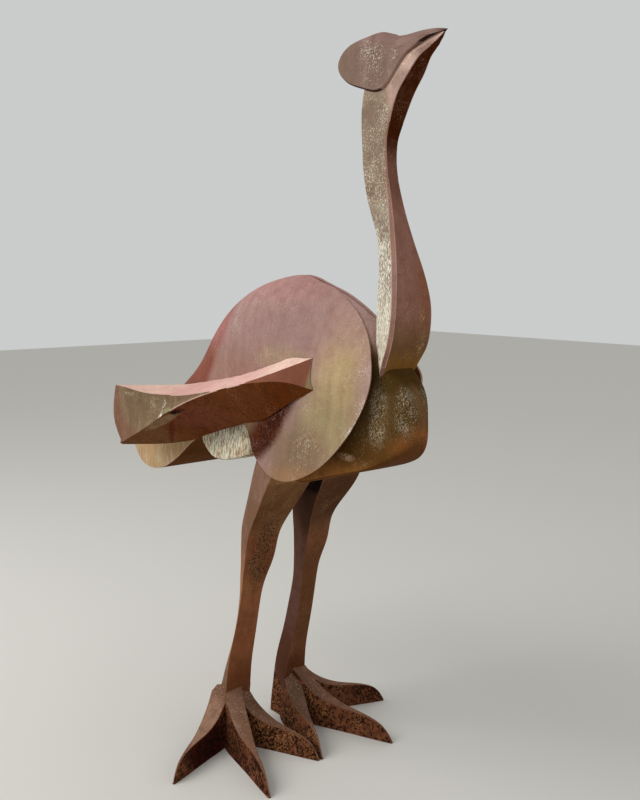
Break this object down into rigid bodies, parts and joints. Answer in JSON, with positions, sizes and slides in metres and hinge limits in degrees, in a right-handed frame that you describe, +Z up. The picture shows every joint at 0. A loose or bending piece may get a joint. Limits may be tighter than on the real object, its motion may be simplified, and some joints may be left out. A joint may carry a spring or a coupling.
{
  "type": "metal ostrich sculpture",
  "caption": "Standing ostrich sculpture welded from rust-patinated steel plate, with shell flanks, boxed wings, a curved neck and splayed toes.",
  "frame": {"origin": "on the ground under the middle of the sculpture's length and width", "axes": "+X is where the beak points, +Y is the bird's left, +Z is up"},
  "size_m": [1.303, 0.7872, 1.948],
  "materials": {
    "weathered_steel": "matte rust-brown weathered steel plate, mottled, with pale streaks",
    "rose_weathered_steel": "matte dusty rose weathered steel plate with an olive bloom and fine pale specks"
  },
  "bodies": {
    "root": {"trunk": "weathered_steel", "neck": "weathered_steel", "head": "weathered_steel", "tail": "weathered_steel", "right_flank": "rose_weathered_steel", "left_flank": "rose_weathered_steel", "right_wing": "rose_weathered_steel", "left_wing": "rose_weathered_steel", "right_leg": "weathered_steel", "left_leg": "weathered_steel"}
  },
  "joints": []
}
